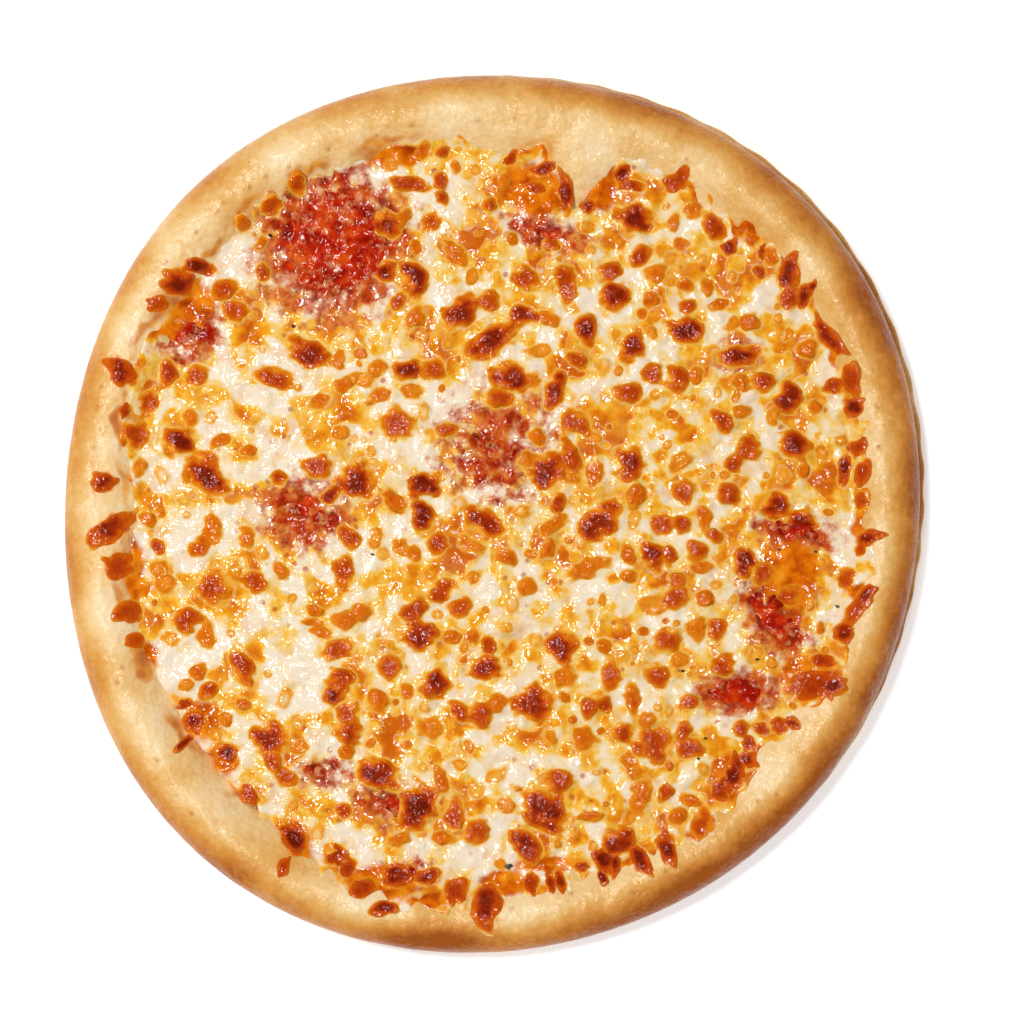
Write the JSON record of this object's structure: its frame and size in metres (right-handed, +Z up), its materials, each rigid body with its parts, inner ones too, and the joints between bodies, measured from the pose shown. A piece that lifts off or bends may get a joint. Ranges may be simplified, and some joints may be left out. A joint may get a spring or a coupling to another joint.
{
  "type": "margherita pizza",
  "caption": "Whole uncut round pizza lying flat: a risen, unevenly baked rim round tomato sauce and melted cheese with browned blisters.",
  "frame": {"origin": "on the surface that the pizza lies on, under the middle of its outline", "axes": "+Z up, away from the surface; +X to the right of the picture and +Y to its top, as the pizza is seen from above"},
  "size_m": [0.3013, 0.3075, 0.0201],
  "materials": {
    "baked_dough": "baked wheat dough, pale cream on the ridge and golden tan on the outer flank, soft oily sheen",
    "tomato_sauce": "cooked crushed tomato, wet and deep red",
    "melted_cheese": "melted cheese, cream to golden yellow, oily gloss, red-brown blisters"
  },
  "bodies": {
    "root": {"crust": "baked_dough", "sauce": "tomato_sauce", "cheese": "melted_cheese"}
  },
  "joints": []
}
